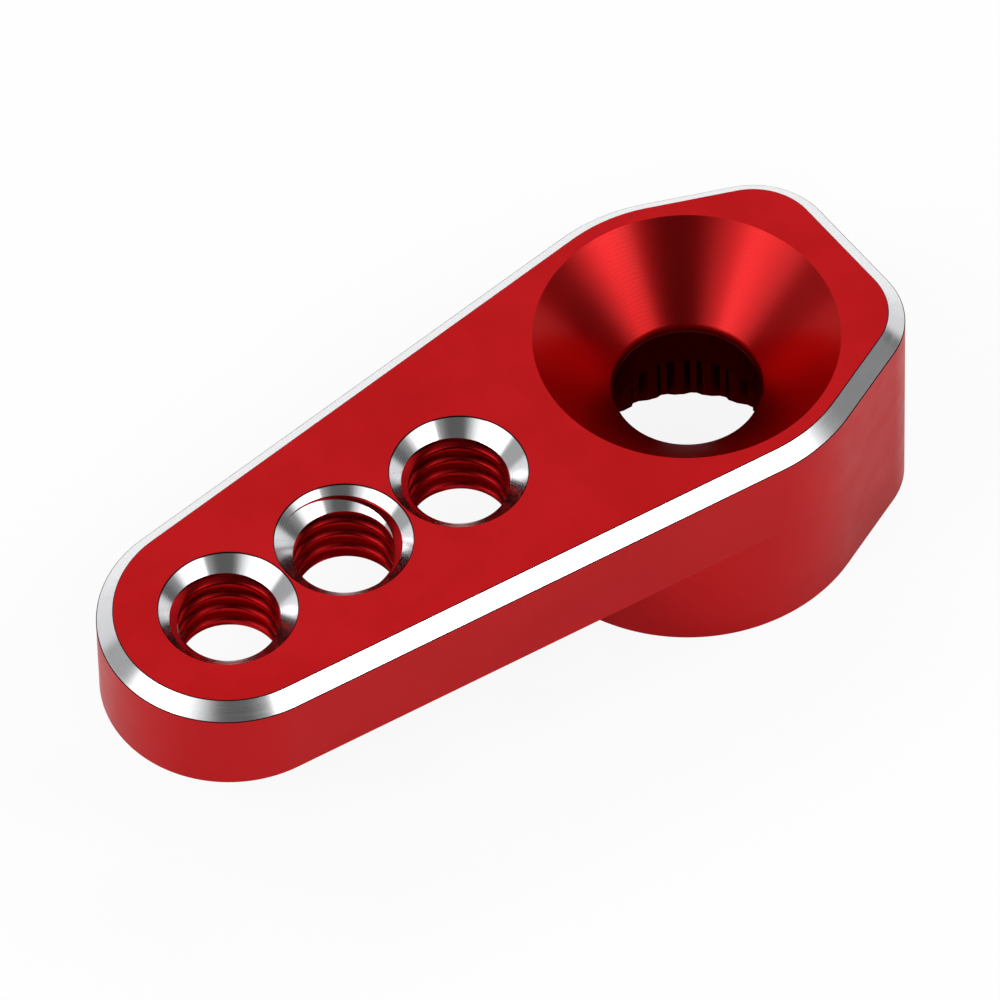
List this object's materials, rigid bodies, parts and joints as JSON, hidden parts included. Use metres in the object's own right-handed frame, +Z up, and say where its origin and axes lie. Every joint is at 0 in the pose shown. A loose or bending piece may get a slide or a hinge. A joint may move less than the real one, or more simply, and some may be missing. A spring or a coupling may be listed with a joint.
{
  "type": "servo horn",
  "caption": "Tapered single-arm servo horn: a deep hub with a countersunk screw bore above a toothed shaft socket, and a thinner arm with a row of tapped link holes.",
  "frame": {"origin": "on the socket's axis, in the plane of the hub's foot", "axes": "+X along the arm to its tip, +Z up the hub towards the countersink; the XZ plane is the mirror plane"},
  "size_m": [0.0224, 0.0092, 0.0063],
  "materials": {
    "anodised_aluminium": "satin red anodising, with the top edge and the mouths of the tapped holes cut bright afterwards"
  },
  "bodies": {
    "root": {"servo_horn": "anodised_aluminium"}
  },
  "joints": []
}
